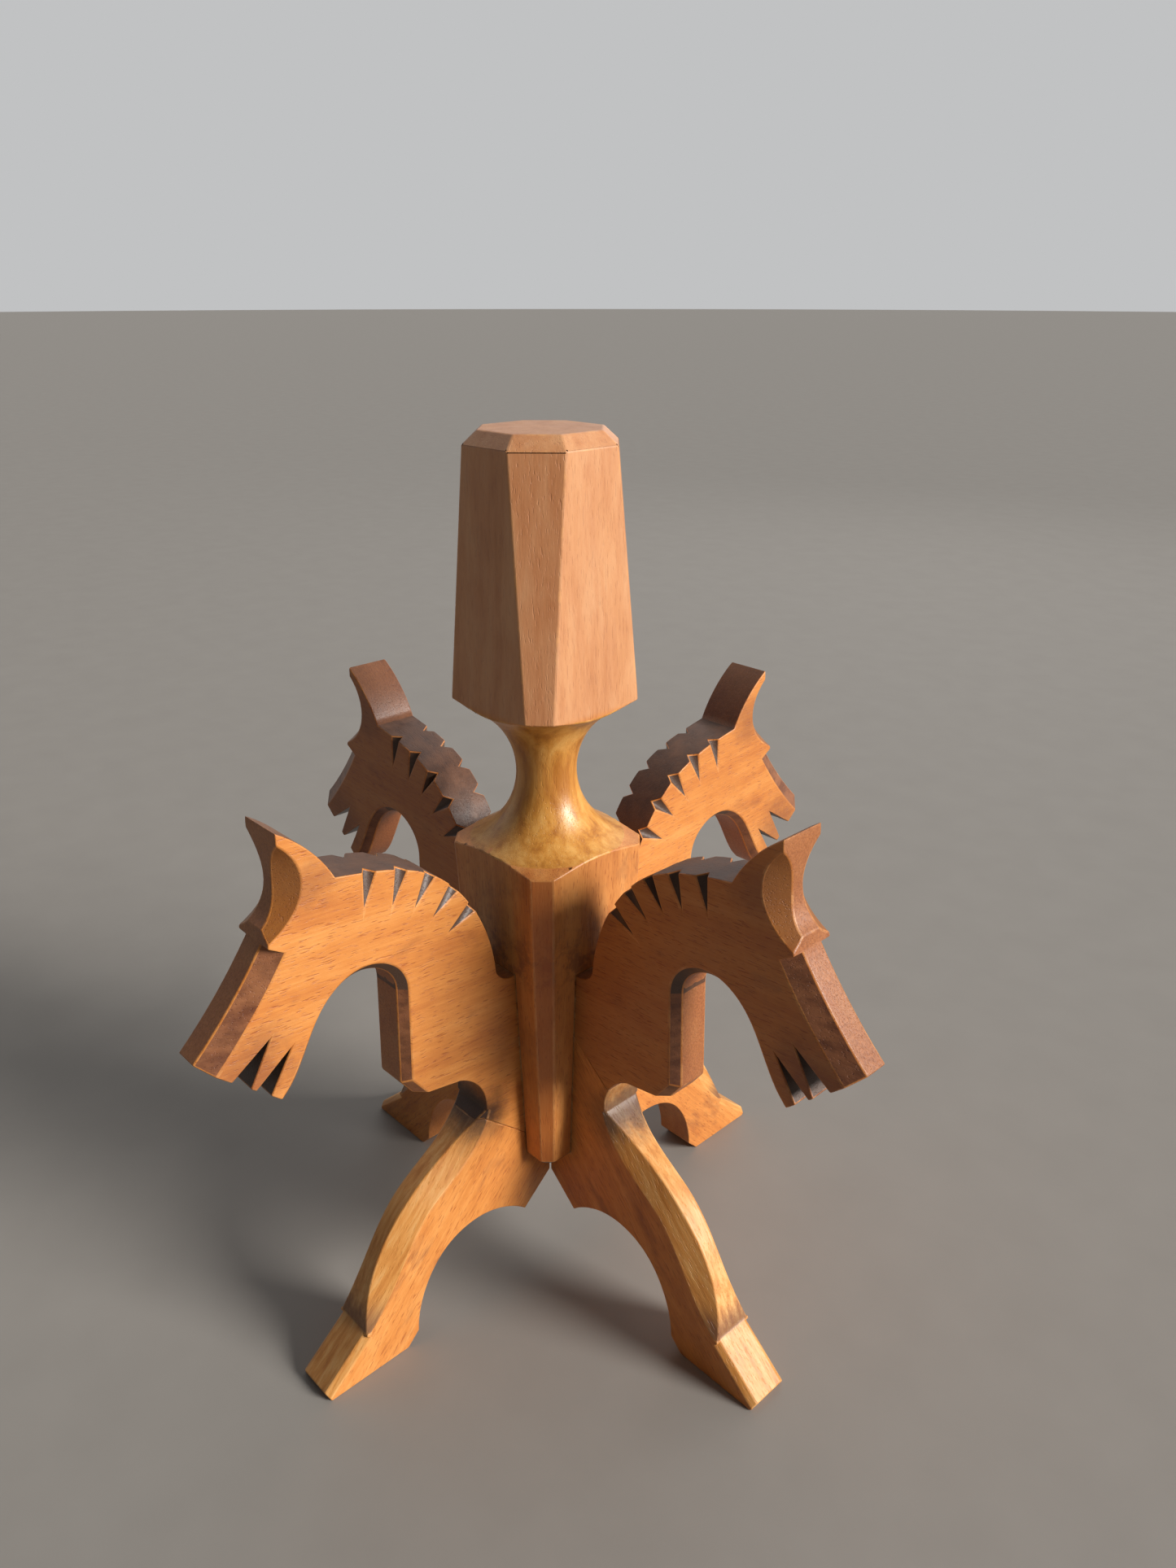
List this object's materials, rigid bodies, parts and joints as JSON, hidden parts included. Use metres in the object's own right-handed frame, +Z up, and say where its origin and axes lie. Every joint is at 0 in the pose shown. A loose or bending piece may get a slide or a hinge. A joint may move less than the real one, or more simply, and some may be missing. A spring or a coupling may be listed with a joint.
{
  "type": "mug tree",
  "caption": "Knock-down wooden mug tree: board horse figures whose throats are the mug hooks, locked together by a post with a cross-shaped kerf.",
  "frame": {"origin": "on the table, on the axis of the post", "axes": "+Z up along the post; the horses face -Y (front), +X (right), +Y (back) and -X (left)"},
  "size_m": [0.1936, 0.1936, 0.2206],
  "materials": {
    "post_wood": "satin, oiled, darker on the cove",
    "head_board": "satin, oiled, fine ray fleck, bare pale wood on the tenon",
    "leg_board": "satin, oiled, grain along the leg, rubbed pale on the front"
  },
  "bodies": {
    "front_horse": {"front_horse_head": "head_board", "front_horse_leg": "leg_board"},
    "right_horse": {"right_horse_head": "head_board", "right_horse_leg": "leg_board"},
    "back_horse": {"back_horse_head": "head_board", "back_horse_leg": "leg_board"},
    "left_horse": {"left_horse_head": "head_board", "left_horse_leg": "leg_board"},
    "post": {"post": "post_wood"}
  },
  "joints": [
    {"name": "post_lift", "type": "slide", "parent": "front_horse", "child": "post", "axis": [0, 0, 1], "range_m": [0, 0.107]},
    {"name": "right_horse_draw", "type": "slide", "parent": "front_horse", "child": "right_horse", "axis": [1, 0, 0], "range_m": [0, 0.045]},
    {"name": "back_horse_draw", "type": "slide", "parent": "front_horse", "child": "back_horse", "axis": [0, 1, 0], "range_m": [0, 0.045]},
    {"name": "left_horse_draw", "type": "slide", "parent": "front_horse", "child": "left_horse", "axis": [-1, 0, 0], "range_m": [0, 0.045]}
  ]
}
